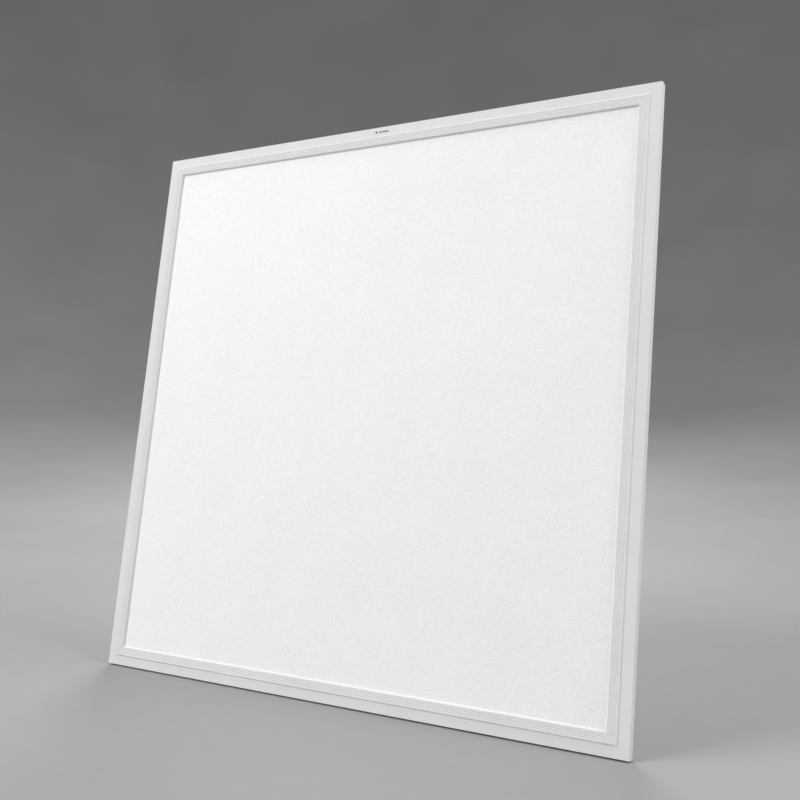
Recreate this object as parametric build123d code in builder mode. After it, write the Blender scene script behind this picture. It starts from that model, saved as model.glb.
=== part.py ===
"""Slim edge-lit LED panel light for a 600 mm ceiling grid, as separate pieces.

The panel stands upright: X runs along its width, Z up its height, and the light
leaves it towards -Y. The origin is the middle of the bottom edge, in the plane
of the frame's back rim. All sizes are in millimetres.

"Inset" is the distance inwards from the outer edge of the panel.
"""

import os

from build123d import *

os.makedirs("parts", exist_ok=True)

# ---------------------------------------------------------------- whole panel
PANEL_SIDE = 595.0
HALF = PANEL_SIDE / 2
FRAME_DEPTH = 9.0

# ------------------------------------------------------------ frame extrusion
SEAT_WIDTH = 10.1  # flat flange that rests on the ceiling grid
FLANK_RUN = 0.8  # sloped step from the seat up to the raised band
BAND_PROUD = 1.0
BAND_END = 19.7
LIP_END = 21.4  # edge of the luminous window
LIP_DEPTH = 0.9  # the lip's foot, behind the flange's front face
GROOVES = 5
GROOVE_FIRST = 12.9
GROOVE_PITCH = 1.525
GROOVE_HALF_WIDTH = 0.55
GROOVE_DEEP = 0.25
RIDGE_RADIUS = 0.12
ARRIS_RADIUS = 0.3
OUTER_WALL = 1.4
SKIN = 1.2  # every other wall of the extrusion
CHANNEL_WIDTH = 6.8  # hollow chamber that takes the corner keys
CHANNEL_DEPTH = 5.0
SEAL_POCKET_START = 11.2
SEAL_POCKET_END = 20.3
SEAL_THICKNESS = 0.7
SEAL_OUTER_INSET = 12.0
SEAL_INNER_INSET = 20.0

# ------------------------------------------------------ layers, front to back
DIFFUSER_THICKNESS = 1.5
GUIDE_THICKNESS = 3.0
REFLECTOR_THICKNESS = 0.3
FOAM_THICKNESS = 1.7
COVER_THICKNESS = 0.6
DIFFUSER_INSET = 11.6
GUIDE_INSET = 12.4
FOAM_INSET = 13.5
FOAM_CORNER_RADIUS = 3.0
FOAM_NOTCH_WIDTH = 18.0  # for the wires between the top rail and the box
FOAM_WINDOW_WIDTH = 68.0  # behind the terminal box
FOAM_WINDOW_HEIGHT = 50.0
FOAM_RIVET_CLEARANCE = 0.6
COVER_INSET = 1.7
COVER_CORNER_RADIUS = 1.5
EDGE_TAPE_THICKNESS = 0.1
BUMPER_LENGTH = 14.0
BUMPER_DEPTH = 2.6
BUMPER_SPACING = 180.0
BUMPER_CORNER_REACH = 17.5

# ---------------------------------------------------------------- LED boards
BOARD_LENGTH = 549.0
BOARD_WIDTH = 5.2
BOARD_THICKNESS = 1.0
TAPE_THICKNESS = 0.15
TAPE_WIDTH = 4.6
LED_COUNT = 72
LED_PITCH = 7.5
LED_LENGTH = 4.0
LED_WIDTH = 1.4
LED_HEIGHT = 0.75
PHOSPHOR_LENGTH = 3.2
PHOSPHOR_WIDTH = 0.9
PHOSPHOR_DEEP = 0.35
PHOSPHOR_FILL = 0.3  # depth of the phosphor in its cup
PAD_LENGTH = 3.0
PAD_THICKNESS = 0.1
PAD_EDGE_DISTANCE = 0.75  # middle of a pad, from the board's back edge
OUTER_PAD_Z = 568.0
INNER_PAD_Z = 556.0

# ------------------------------------------------------------------ fasteners
KEY_CLEARANCE = 0.1
KEY_REACH = 42.0  # end of each key arm, from the panel's corner
KEY_SCREW_REACH = 18.0
SUSPENSION_REACH = 30.0
SUSPENSION_TAP_RADIUS = 1.65  # M4 tapping size
SUSPENSION_CLEAR_RADIUS = 2.3
M3_TAP_RADIUS = 1.25
M3_CLEAR_RADIUS = 1.7
M3_SHANK_RADIUS = 1.2
SCREW_HEAD_RADIUS = 2.8
SCREW_HEAD_HEIGHT = 0.95
KEY_SCREW_LENGTH = 6.0
COVER_SCREW_LENGTH = 3.4
COVER_SCREWS_PER_SIDE = 4
RIVET_HEAD_RADIUS = 2.2
RIVET_HEAD_HEIGHT = 0.9
RIVET_SHANK_RADIUS = 1.2
RIVET_HOLE_RADIUS = 1.3
RIVET_TAIL_RADIUS = 1.8
RIVET_TAIL_HEIGHT = 0.8
RIVET_DIMPLE_RADIUS = 0.6
RIVET_DIMPLE_DEPTH = 0.5
LID_SCREW_HEAD_RADIUS = 2.3
LID_SCREW_HEAD_HEIGHT = 0.85
LID_SCREW_SHANK_RADIUS = 0.95
LID_SCREW_LENGTH = 6.0
PCB_SCREW_HEAD_RADIUS = 1.9
PCB_SCREW_HEAD_HEIGHT = 0.8
PCB_SCREW_SHANK_RADIUS = 0.75
PCB_SCREW_LENGTH = 2.8
CLAMP_SCREW_HEAD_RADIUS = 1.2
CLAMP_SCREW_HEAD_HEIGHT = 0.8
CLAMP_SCREW_SHANK_RADIUS = 0.75
CLAMP_SCREW_LENGTH = 1.6
CLAMP_SCREW_STANDOFF = 0.8  # of the head, above the cage

# ---------------------------------------------------------------- back cover
BEAD_WIDTH = 12.0
BEAD_HEIGHT = 0.8
BEAD_RING_SIDE = 360.0
BEAD_RING_RADIUS = 30.0
BEAD_ARM_LENGTH = 74.0
BEAD_ARM_CENTRE = 225.0  # from the panel's centre, along X and along Z

# -------------------------------------------------------------- terminal box
BOX_WIDTH = 64.0
BOX_HEIGHT = 46.0
BOX_CENTRE_Z = 537.0
BOX_CORNER_RADIUS = 3.0
BOX_WALL = 1.5
BOX_FLOOR = 1.2
BOX_BACK = 10.0
LID_THICKNESS = 1.5
LID_EDGE_RADIUS = 1.0
LID_RIB_LENGTH = 16.0
LID_RIB_WIDTH = 1.0
LID_RIB_DEPTH = 1.2
LID_RIB_CLEARANCE = 0.15  # between a rib and the box wall
LID_HOLE_RADIUS = 1.3
LID_RECESS_RADIUS = 2.6
LID_RECESS_DEPTH = 0.9
BOSS_RADIUS = 2.8
BOSS_X = 27.0
BOSS_PILOT_RADIUS = 1.0
BOSS_PILOT_DEPTH = 7.0
BOX_RIVET_INSET = 6.0
PCB_WIDTH = 34.0
PCB_HEIGHT = 22.0
PCB_THICKNESS = 1.0
PCB_CENTRE_Z = 534.5
PCB_LIFT = 1.0
PCB_SCREW_X = 13.0
PCB_HOLE_RADIUS = 1.1
STANDOFF_RADIUS = 2.2
STANDOFF_PILOT_RADIUS = 0.8
STANDOFF_PILOT_DEPTH = 2.0
BLOCK_WIDTH = 11.0
BLOCK_LENGTH = 8.0
BLOCK_HEIGHT = 6.0
BLOCK_CENTRE_Z = 529.5
BLOCK_CHAMFER = 1.0
BLOCK_FLOOR = 0.6
POLE_PITCH = 5.0
CAGE_SIDE = 2.8
CAGE_LENGTH = 3.95
CAGE_SETBACK = 1.0  # from the block's wire face
CAVITY_SIDE = 2.9
CAVITY_DEPTH = 5.0
WIRE_PORT_RADIUS = 0.9
CLAMP_SETBACK = 3.0
CLAMP_TAP_RADIUS = 0.8
DRIVER_HOLE_RADIUS = 1.3
GROMMET_BORE_RADIUS = 2.3
GROMMET_NECK_RADIUS = 3.4
GROMMET_FLANGE_RADIUS = 4.1
GROMMET_FLANGE = 1.2
GROMMET_EDGE_RADIUS = 0.5
GROMMET_CENTRE_Y = 4.35
BUSHING_Z = 551.5
BUSHING_OPEN_WIDTH = 15.2
BUSHING_OPEN_HEIGHT = 4.6
BUSHING_WALL = 1.2
BUSHING_FLANGE = 0.8
BUSHING_FLANGE_REACH = 1.2

# ---------------------------------------------------------------- safety lug
LUG_X = 62.0
LUG_Z = 551.0
LUG_BASE = 16.0
LUG_WIDTH = 12.0
LUG_TOP = 8.6
LUG_SHEET = 1.2
LUG_HOLE_RADIUS = 2.5
LUG_HOLE_Y = 4.6
LUG_RIVET_X = (67.0, 74.0)
LUG_TIP_RADIUS = 3.0
LUG_HEEL_RADIUS = 1.1

# ---------------------------------------------------------------- feed wires
WIRE_RADIUS = 0.6
WIRE_BEND = 4.0
WIRE_SMALL_BEND = 2.4
WIRE_GENTLE_BEND = 12.0
WIRE_SOLDERED_LENGTH = 4.0
WIRE_JOG_HEIGHT = 6.0  # rise over which a wire swings from its pad to its run
WIRE_RUN_OFFSET = 1.0  # of the side run, outside the top run's inset
WIRE_PASSAGE_Z = 551.0  # through the bushing
WIRE_END_Z = 541.5
OUTER_WIRE_INSET = 10.15
INNER_WIRE_INSET = 11.55
OUTER_WIRE_X = 2.0
INNER_WIRE_X = 6.0

# --------------------------------------------------------------- rating label
LABEL_WIDTH = 80.0
LABEL_HEIGHT = 40.0
LABEL_THICKNESS = 0.1
LABEL_CENTRE_Z = 400.0
LABEL_CORNER_RADIUS = 2.0

# ------------------------------------------------------- derived Y positions
FLANGE_FRONT = -FRAME_DEPTH
BAND_FRONT = FLANGE_FRONT - BAND_PROUD
CHANNEL_FRONT = FLANGE_FRONT + SKIN
CHANNEL_BACK = CHANNEL_FRONT + CHANNEL_DEPTH
LEDGE_BACK = CHANNEL_BACK + SKIN
LIP_FOOT = FLANGE_FRONT + LIP_DEPTH
DIFFUSER_BACK = LIP_FOOT + DIFFUSER_THICKNESS
GUIDE_BACK = DIFFUSER_BACK + GUIDE_THICKNESS
REFLECTOR_BACK = GUIDE_BACK + REFLECTOR_THICKNESS
FOAM_BACK = REFLECTOR_BACK + FOAM_THICKNESS
COVER_BACK = LEDGE_BACK + COVER_THICKNESS
GUIDE_MIDDLE = (DIFFUSER_BACK + GUIDE_BACK) / 2
PAD_Y = GUIDE_MIDDLE + BOARD_WIDTH / 2 - PAD_EDGE_DISTANCE
BOX_FLOOR_TOP = COVER_BACK + BOX_FLOOR
LID_UNDERSIDE = BOX_BACK - LID_THICKNESS
PCB_BOTTOM = BOX_FLOOR_TOP + PCB_LIFT
PCB_TOP = PCB_BOTTOM + PCB_THICKNESS
WIRE_RUN_Y = (REFLECTOR_BACK + LEDGE_BACK) / 2
WIRE_ON_PCB = PCB_TOP + WIRE_RADIUS
CAGE_Y = PCB_TOP + BLOCK_FLOOR + CAGE_SIDE / 2
CAGE_BACK = CAGE_Y + CAGE_SIDE / 2

# ------------------------------------------------------------ derived insets
CHANNEL_MIDDLE = OUTER_WALL + CHANNEL_WIDTH / 2
INNER_WALL_FACE = OUTER_WALL + CHANNEL_WIDTH + SKIN
BOARD_BACK_INSET = INNER_WALL_FACE + TAPE_THICKNESS
BOARD_FACE_INSET = BOARD_BACK_INSET + BOARD_THICKNESS
PAD_FACE_X = HALF - BOARD_FACE_INSET - PAD_THICKNESS

# --------------------------------------------------- derived sizes and heights
DIFFUSER_SIDE = PANEL_SIDE - 2 * DIFFUSER_INSET
SEAL_OUTER_SIDE = PANEL_SIDE - 2 * SEAL_OUTER_INSET
SEAL_INNER_SIDE = PANEL_SIDE - 2 * SEAL_INNER_INSET
GUIDE_SIDE = PANEL_SIDE - 2 * GUIDE_INSET
FOAM_SIDE = PANEL_SIDE - 2 * FOAM_INSET
FOAM_TOP_Z = PANEL_SIDE - FOAM_INSET
COVER_SIDE = PANEL_SIDE - 2 * COVER_INSET
BUSHING_HOLE = (BUSHING_OPEN_WIDTH + 2 * BUSHING_WALL, BUSHING_OPEN_HEIGHT + 2 * BUSHING_WALL)
BOX_BOTTOM_Z = BOX_CENTRE_Z - BOX_HEIGHT / 2
BLOCK_FACE_Z = BLOCK_CENTRE_Z - BLOCK_LENGTH / 2
CLAMP_Z = BLOCK_FACE_Z + CLAMP_SETBACK

SIDES = {"bottom": 0, "left": 90, "top": 180, "right": 270}
CORNERS = {
    "bottom_left": (-1, -1),
    "bottom_right": (1, -1),
    "top_left": (-1, 1),
    "top_right": (1, 1),
}
ACROSS = {"left": -1, "right": 1}


def upright(y):
    """The XZ plane at depth y; extruding a positive amount goes towards the front."""
    return Plane.XZ.offset(-y)


def facing_back(x, y, z):
    """A plane at a point, whose normal points out of the panel's back."""
    return Plane(origin=(x, y, z), x_dir=(1, 0, 0), z_dir=(0, 1, 0))


def side_directions(turn):
    """Direction along one side of the panel, and direction inwards from it."""
    along = Vector(1, 0, 0).rotate(Axis.Y, turn)
    inwards = Vector(0, 0, 1).rotate(Axis.Y, turn)
    return along, inwards


def side_point(turn, distance, inset, y=0.0):
    """Point beside one side, at a distance along it from its middle."""
    along, inwards = side_directions(turn)
    centre = Vector(0, y, HALF)
    return centre + along * distance - inwards * (HALF - inset)


def corner_point(corner, across, up, y=0.0):
    """Point at the given distances from a panel corner, along X and along Z."""
    sign_x, sign_z = CORNERS[corner]
    return Vector(sign_x * (HALF - across), y, HALF + sign_z * (HALF - up))


KEY_SCREW_POINTS = []
SUSPENSION_POINTS = []
for corner in CORNERS:
    KEY_SCREW_POINTS.append(corner_point(corner, KEY_SCREW_REACH, CHANNEL_MIDDLE))
    KEY_SCREW_POINTS.append(corner_point(corner, CHANNEL_MIDDLE, KEY_SCREW_REACH))
    SUSPENSION_POINTS.append(corner_point(corner, SUSPENSION_REACH, CHANNEL_MIDDLE))

# The cover screws divide the stretch between a side's two key screws evenly.
COVER_SCREW_PITCH = 2 * (HALF - KEY_SCREW_REACH) / (COVER_SCREWS_PER_SIDE + 1)
COVER_SCREW_STEPS = [
    (step - (COVER_SCREWS_PER_SIDE - 1) / 2) * COVER_SCREW_PITCH
    for step in range(COVER_SCREWS_PER_SIDE)
]
COVER_SCREW_POINTS = [
    side_point(turn, distance, CHANNEL_MIDDLE)
    for turn in SIDES.values()
    for distance in COVER_SCREW_STEPS
]

BOX_RIVET_POINTS = []
for sign_x, sign_z in CORNERS.values():
    rivet_x = sign_x * (BOX_WIDTH / 2 - BOX_RIVET_INSET)
    BOX_RIVET_POINTS.append((rivet_x, BOX_CENTRE_Z + sign_z * (BOX_HEIGHT / 2 - BOX_RIVET_INSET)))
LUG_RIVET_POINTS = [(x, LUG_Z) for x in LUG_RIVET_X]
BOSS_POINTS = [(-BOSS_X, BOX_CENTRE_Z), (BOSS_X, BOX_CENTRE_Z)]
PCB_SCREW_POINTS = [(-PCB_SCREW_X, PCB_CENTRE_Z), (PCB_SCREW_X, PCB_CENTRE_Z)]
POLE_XS = (-POLE_PITCH / 2, POLE_PITCH / 2)


def wafer_screw(head_radius, head_height, shank_radius, shank_length):
    """Low-headed cross-recess screw, its head sitting on the local XY plane."""
    rim_radius = head_height * 0.45
    recess_span = head_radius * 0.95
    recess_width = head_radius * 0.2
    recess_depth = head_height * 0.6
    point_chamfer = shank_radius * 0.4
    with BuildPart() as screw:
        with BuildSketch():
            Circle(head_radius)
        extrude(amount=head_height)
        fillet(screw.edges().group_by(Axis.Z)[-1], radius=rim_radius)
        with BuildSketch(Plane.XY.offset(head_height)):
            Rectangle(recess_span, recess_width)
            Rectangle(recess_width, recess_span)
        extrude(amount=-recess_depth, mode=Mode.SUBTRACT)
        with BuildSketch():
            Circle(shank_radius)
        extrude(amount=-shank_length)
        chamfer(screw.edges().group_by(Axis.Z)[0], length=point_chamfer)
    return screw.part


def blind_rivet(grip):
    """Dome-headed rivet on the local XY plane, closed below a stack of the given thickness."""
    dome_radius = RIVET_HEAD_HEIGHT * 0.7
    tail_edge_radius = RIVET_TAIL_HEIGHT * 0.5
    with BuildPart() as rivet:
        with BuildSketch():
            Circle(RIVET_HEAD_RADIUS)
        extrude(amount=RIVET_HEAD_HEIGHT)
        fillet(rivet.edges().group_by(Axis.Z)[-1], radius=dome_radius)
        with BuildSketch():
            Circle(RIVET_SHANK_RADIUS)
        extrude(amount=-grip)
        with BuildSketch(Plane.XY.offset(-grip)):
            Circle(RIVET_TAIL_RADIUS)
        extrude(amount=-RIVET_TAIL_HEIGHT)
        fillet(rivet.edges().group_by(Axis.Z)[0], radius=tail_edge_radius)
        with Locations((0, 0, RIVET_HEAD_HEIGHT)):
            Hole(radius=RIVET_DIMPLE_RADIUS, depth=RIVET_DIMPLE_DEPTH)
    return rivet.part


# ------------------------------------------------------------------ the frame
def rail_outline():
    """Outline of the extrusion as (depth, inset) points, round to the back rim."""
    outline = [(0, 0), (FLANGE_FRONT, 0), (FLANGE_FRONT, SEAT_WIDTH)]
    outline.append((BAND_FRONT, SEAT_WIDTH + FLANK_RUN))
    for groove in range(GROOVES):
        middle = GROOVE_FIRST + groove * GROOVE_PITCH
        outline.append((BAND_FRONT, middle - GROOVE_HALF_WIDTH))
        outline.append((BAND_FRONT + GROOVE_DEEP, middle))
        outline.append((BAND_FRONT, middle + GROOVE_HALF_WIDTH))
    outline.append((BAND_FRONT, BAND_END))
    outline.append((LIP_FOOT, LIP_END))
    outline.append((LIP_FOOT, SEAL_POCKET_END))
    outline.append((LIP_FOOT - SEAL_THICKNESS, SEAL_POCKET_END))
    outline.append((LIP_FOOT - SEAL_THICKNESS, SEAL_POCKET_START))
    outline.append((CHANNEL_FRONT, SEAL_POCKET_START))
    outline.append((CHANNEL_FRONT, INNER_WALL_FACE))
    outline.append((LEDGE_BACK, INNER_WALL_FACE))
    outline.append((LEDGE_BACK, OUTER_WALL))
    outline.append((0, OUTER_WALL))
    return outline


for side, turn in SIDES.items():
    along, inwards = side_directions(turn)
    start = side_point(turn, -HALF, 0)
    end = side_point(turn, HALF, 0)
    holes = [(distance, M3_TAP_RADIUS) for distance in COVER_SCREW_STEPS]
    for end_sign in (-1, 1):
        holes.append((end_sign * (HALF - KEY_SCREW_REACH), M3_CLEAR_RADIUS))
        if side in ("top", "bottom"):
            holes.append((end_sign * (HALF - SUSPENSION_REACH), SUSPENSION_CLEAR_RADIUS))

    with BuildPart() as frame_rail:
        with BuildSketch(Plane(origin=start, x_dir=(0, 1, 0), z_dir=along)) as section:
            with BuildLine():
                Polyline(*rail_outline(), close=True)
            make_face()
            fillet(section.vertices().group_by(Axis.Y)[0], radius=ARRIS_RADIUS)
            fillet(section.vertices().group_by(Axis.X)[0], radius=RIDGE_RADIUS)
            with Locations(((CHANNEL_FRONT + CHANNEL_BACK) / 2, CHANNEL_MIDDLE)):
                Rectangle(CHANNEL_DEPTH, CHANNEL_WIDTH, mode=Mode.SUBTRACT)
        extrude(amount=PANEL_SIDE)
        split(bisect_by=Plane(origin=start, z_dir=along - inwards), keep=Keep.TOP)
        split(bisect_by=Plane(origin=end, z_dir=-along - inwards), keep=Keep.TOP)
        for distance, radius in holes:
            mouth = side_point(turn, distance, CHANNEL_MIDDLE, LEDGE_BACK)
            with Locations(facing_back(*mouth)):
                Hole(radius=radius, depth=SKIN)

    frame_rail.part.label = "frame_" + side
    export_step(frame_rail.part, "parts/frame_" + side + ".step")

# ---------------------------------------------------- keys that join the rails
for corner in CORNERS:
    near = OUTER_WALL + KEY_CLEARANCE
    far = OUTER_WALL + CHANNEL_WIDTH - KEY_CLEARANCE
    elbow = [(near, near), (KEY_REACH, near), (KEY_REACH, far), (far, far), (far, KEY_REACH)]
    elbow.append((near, KEY_REACH))
    outline = [corner_point(corner, across, up) for across, up in elbow]

    with BuildPart() as corner_key:
        with BuildSketch(upright(CHANNEL_BACK)):
            with BuildLine():
                Polyline(*[(point.X, point.Z) for point in outline], close=True)
            make_face()
        extrude(amount=CHANNEL_DEPTH - KEY_CLEARANCE)
        tapped = [
            (KEY_SCREW_REACH, CHANNEL_MIDDLE, M3_TAP_RADIUS),
            (CHANNEL_MIDDLE, KEY_SCREW_REACH, M3_TAP_RADIUS),
            (SUSPENSION_REACH, CHANNEL_MIDDLE, SUSPENSION_TAP_RADIUS),
        ]
        for across, up, radius in tapped:
            with Locations(facing_back(*corner_point(corner, across, up, CHANNEL_BACK))):
                Hole(radius=radius, depth=CHANNEL_DEPTH)

    corner_key.part.label = "corner_key_" + corner
    export_step(corner_key.part, "parts/corner_key_" + corner + ".step")

key_screw = wafer_screw(SCREW_HEAD_RADIUS, SCREW_HEAD_HEIGHT, M3_SHANK_RADIUS, KEY_SCREW_LENGTH)
with BuildPart() as corner_key_screws:
    with Locations(*[facing_back(point.X, COVER_BACK, point.Z) for point in KEY_SCREW_POINTS]):
        add(key_screw)
corner_key_screws.part.label = "corner_key_screws"
export_step(corner_key_screws.part, "parts/corner_key_screws.step")

# ------------------------------------------------- layers in front of the guide
with BuildPart() as diffuser_plate:
    with BuildSketch(upright(DIFFUSER_BACK)):
        with Locations((0, HALF)):
            Rectangle(DIFFUSER_SIDE, DIFFUSER_SIDE)
    extrude(amount=DIFFUSER_THICKNESS)
diffuser_plate.part.label = "diffuser_plate"
export_step(diffuser_plate.part, "parts/diffuser_plate.step")

with BuildPart() as dust_seal:
    with BuildSketch(upright(LIP_FOOT)):
        with Locations((0, HALF)):
            Rectangle(SEAL_OUTER_SIDE, SEAL_OUTER_SIDE)
            Rectangle(SEAL_INNER_SIDE, SEAL_INNER_SIDE, mode=Mode.SUBTRACT)
    extrude(amount=SEAL_THICKNESS)
dust_seal.part.label = "dust_seal"
export_step(dust_seal.part, "parts/dust_seal.step")

# ------------------------------------------------------ light guide and its bed
with BuildPart() as light_guide_plate:
    with BuildSketch(upright(GUIDE_BACK)):
        with Locations((0, HALF)):
            Rectangle(GUIDE_SIDE, GUIDE_SIDE)
    extrude(amount=GUIDE_THICKNESS)
light_guide_plate.part.label = "light_guide_plate"
export_step(light_guide_plate.part, "parts/light_guide_plate.step")

with BuildPart() as reflector_sheet:
    with BuildSketch(upright(REFLECTOR_BACK)):
        with Locations((0, HALF)):
            Rectangle(GUIDE_SIDE, GUIDE_SIDE)
    extrude(amount=REFLECTOR_THICKNESS)
reflector_sheet.part.label = "reflector_sheet"
export_step(reflector_sheet.part, "parts/reflector_sheet.step")

for side in ("top", "bottom"):
    edge_middle = side_point(SIDES[side], 0, GUIDE_INSET - EDGE_TAPE_THICKNESS / 2, GUIDE_MIDDLE)
    with BuildPart() as edge_tape:
        with Locations(edge_middle):
            Box(GUIDE_SIDE, GUIDE_THICKNESS, EDGE_TAPE_THICKNESS)
    edge_tape.part.label = "edge_tape_" + side
    export_step(edge_tape.part, "parts/edge_tape_" + side + ".step")

bumper_thickness = GUIDE_INSET - EDGE_TAPE_THICKNESS - INNER_WALL_FACE
side_bumper_thickness = GUIDE_INSET - INNER_WALL_FACE
with BuildPart() as light_guide_bumpers:
    for side in ("top", "bottom"):
        for distance in (-BUMPER_SPACING, 0, BUMPER_SPACING):
            inset = INNER_WALL_FACE + bumper_thickness / 2
            with Locations(side_point(SIDES[side], distance, inset, GUIDE_MIDDLE)):
                Box(BUMPER_LENGTH, BUMPER_DEPTH, bumper_thickness)
    for corner in CORNERS:
        inset = INNER_WALL_FACE + side_bumper_thickness / 2
        with Locations(corner_point(corner, inset, BUMPER_CORNER_REACH, GUIDE_MIDDLE)):
            Box(side_bumper_thickness, BUMPER_DEPTH, BUMPER_LENGTH / 2)
light_guide_bumpers.part.label = "light_guide_bumpers"
export_step(light_guide_bumpers.part, "parts/light_guide_bumpers.step")

# The foam bed is cut away for the wires, the box rivets and the lug rivets.
with BuildPart() as foam_backing:
    with BuildSketch(upright(FOAM_BACK)):
        with Locations((0, HALF)):
            RectangleRounded(FOAM_SIDE, FOAM_SIDE, FOAM_CORNER_RADIUS)
        with Locations((0, BOX_CENTRE_Z)):
            Rectangle(FOAM_WINDOW_WIDTH, FOAM_WINDOW_HEIGHT, mode=Mode.SUBTRACT)
        with Locations((0, (FOAM_TOP_Z + BOX_CENTRE_Z) / 2)):
            Rectangle(FOAM_NOTCH_WIDTH, FOAM_TOP_Z - BOX_CENTRE_Z, mode=Mode.SUBTRACT)
        with Locations(*LUG_RIVET_POINTS):
            Circle(RIVET_TAIL_RADIUS + FOAM_RIVET_CLEARANCE, mode=Mode.SUBTRACT)
    extrude(amount=FOAM_THICKNESS)
foam_backing.part.label = "foam_backing"
export_step(foam_backing.part, "parts/foam_backing.step")

# ------------------------------------------------------------------- LED boards
for side, sign in ACROSS.items():
    face_x = sign * (HALF - BOARD_FACE_INSET)
    board_face = Plane(origin=(face_x, GUIDE_MIDDLE, HALF), x_dir=(0, 0, 1), z_dir=(-sign, 0, 0))

    with BuildPart() as led_board:
        with BuildSketch(board_face):
            Rectangle(BOARD_LENGTH, BOARD_WIDTH)
        extrude(amount=-BOARD_THICKNESS)
    led_board.part.label = "led_board_" + side
    export_step(led_board.part, "parts/led_board_" + side + ".step")

    with BuildPart() as thermal_tape:
        with BuildSketch(board_face.offset(-BOARD_THICKNESS)):
            Rectangle(BOARD_LENGTH, TAPE_WIDTH)
        extrude(amount=-TAPE_THICKNESS)
    thermal_tape.part.label = "thermal_tape_" + side
    export_step(thermal_tape.part, "parts/thermal_tape_" + side + ".step")

    with BuildPart() as led_packages:
        with BuildSketch(board_face):
            with GridLocations(LED_PITCH, 1, LED_COUNT, 1):
                Rectangle(LED_LENGTH, LED_WIDTH)
        extrude(amount=LED_HEIGHT)
        with BuildSketch(board_face.offset(LED_HEIGHT)):
            with GridLocations(LED_PITCH, 1, LED_COUNT, 1):
                Rectangle(PHOSPHOR_LENGTH, PHOSPHOR_WIDTH)
        extrude(amount=-PHOSPHOR_DEEP, mode=Mode.SUBTRACT)
    led_packages.part.label = "led_packages_" + side
    export_step(led_packages.part, "parts/led_packages_" + side + ".step")

    with BuildPart() as led_phosphor:
        with BuildSketch(board_face.offset(LED_HEIGHT - PHOSPHOR_DEEP)):
            with GridLocations(LED_PITCH, 1, LED_COUNT, 1):
                Rectangle(PHOSPHOR_LENGTH, PHOSPHOR_WIDTH)
        extrude(amount=PHOSPHOR_FILL)
    led_phosphor.part.label = "led_phosphor_" + side
    export_step(led_phosphor.part, "parts/led_phosphor_" + side + ".step")

# ------------------------------------------------------------------ feed wires
# Each board is fed from its top end. Of a board's two wires, the outer one runs
# nearer the frame, so it turns down into the terminal box nearer the middle.


def feed_route(sign, is_outer):
    """Corner points and bend radii of one wire, from its board pad to the junction board."""
    inset = OUTER_WIRE_INSET if is_outer else INNER_WIRE_INSET
    down_x = OUTER_WIRE_X if is_outer else INNER_WIRE_X
    pad_z = OUTER_PAD_Z if is_outer else INNER_PAD_Z
    pad_x = PAD_FACE_X - WIRE_RADIUS
    side_x = min(pad_x, HALF - inset - WIRE_RUN_OFFSET)
    top_z = PANEL_SIDE - inset
    points = [
        (sign * pad_x, PAD_Y, pad_z - WIRE_SOLDERED_LENGTH),
        (sign * pad_x, PAD_Y, pad_z),
        (sign * side_x, WIRE_RUN_Y, pad_z + WIRE_JOG_HEIGHT),
        (sign * side_x, WIRE_RUN_Y, top_z),
        (sign * down_x, WIRE_RUN_Y, top_z),
        (sign * down_x, WIRE_RUN_Y, WIRE_PASSAGE_Z),
        (sign * down_x, WIRE_ON_PCB, WIRE_PASSAGE_Z),
        (sign * down_x, WIRE_ON_PCB, WIRE_END_Z),
    ]
    radii = [WIRE_GENTLE_BEND] * 2 + [WIRE_BEND] * 2 + [WIRE_SMALL_BEND] * 2
    return points, radii


for polarity, is_outer in (("positive", True), ("negative", False)):
    with BuildPart() as wires:
        for sign in ACROSS.values():
            points, radii = feed_route(sign, is_outer)
            with BuildLine() as route:
                FilletPolyline(*points, radius=radii)
            with BuildSketch(Plane(origin=points[0], z_dir=(0, 0, 1))):
                Circle(WIRE_RADIUS)
            sweep(path=route.wire())
    wires.part.label = polarity + "_wires"
    export_step(wires.part, "parts/" + polarity + "_wires.step")

with BuildPart() as solder_pads:
    for sign in ACROSS.values():
        for pad_z in (OUTER_PAD_Z, INNER_PAD_Z):
            pad_x = sign * (PAD_FACE_X + PAD_THICKNESS / 2)
            with Locations((pad_x, PAD_Y, pad_z - WIRE_SOLDERED_LENGTH / 2)):
                Box(PAD_THICKNESS, 2 * WIRE_RADIUS, PAD_LENGTH)
solder_pads.part.label = "solder_pads"
export_step(solder_pads.part, "parts/solder_pads.step")

# ------------------------------------------------------------------ back cover
def bead_outlines(width):
    """Plan of the stiffening beads: one square ring and an arm towards each corner."""
    with BuildSketch() as plan:
        with Locations((0, HALF)):
            outer = BEAD_RING_SIDE + width
            inner = BEAD_RING_SIDE - width
            RectangleRounded(outer, outer, BEAD_RING_RADIUS + width / 2)
            RectangleRounded(inner, inner, BEAD_RING_RADIUS - width / 2, mode=Mode.SUBTRACT)
        for sign_x, sign_z in CORNERS.values():
            middle = (sign_x * BEAD_ARM_CENTRE, HALF + sign_z * BEAD_ARM_CENTRE)
            with Locations(middle):
                SlotOverall(BEAD_ARM_LENGTH, width, rotation=45 * sign_x * sign_z)
    return plan.sketch


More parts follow.
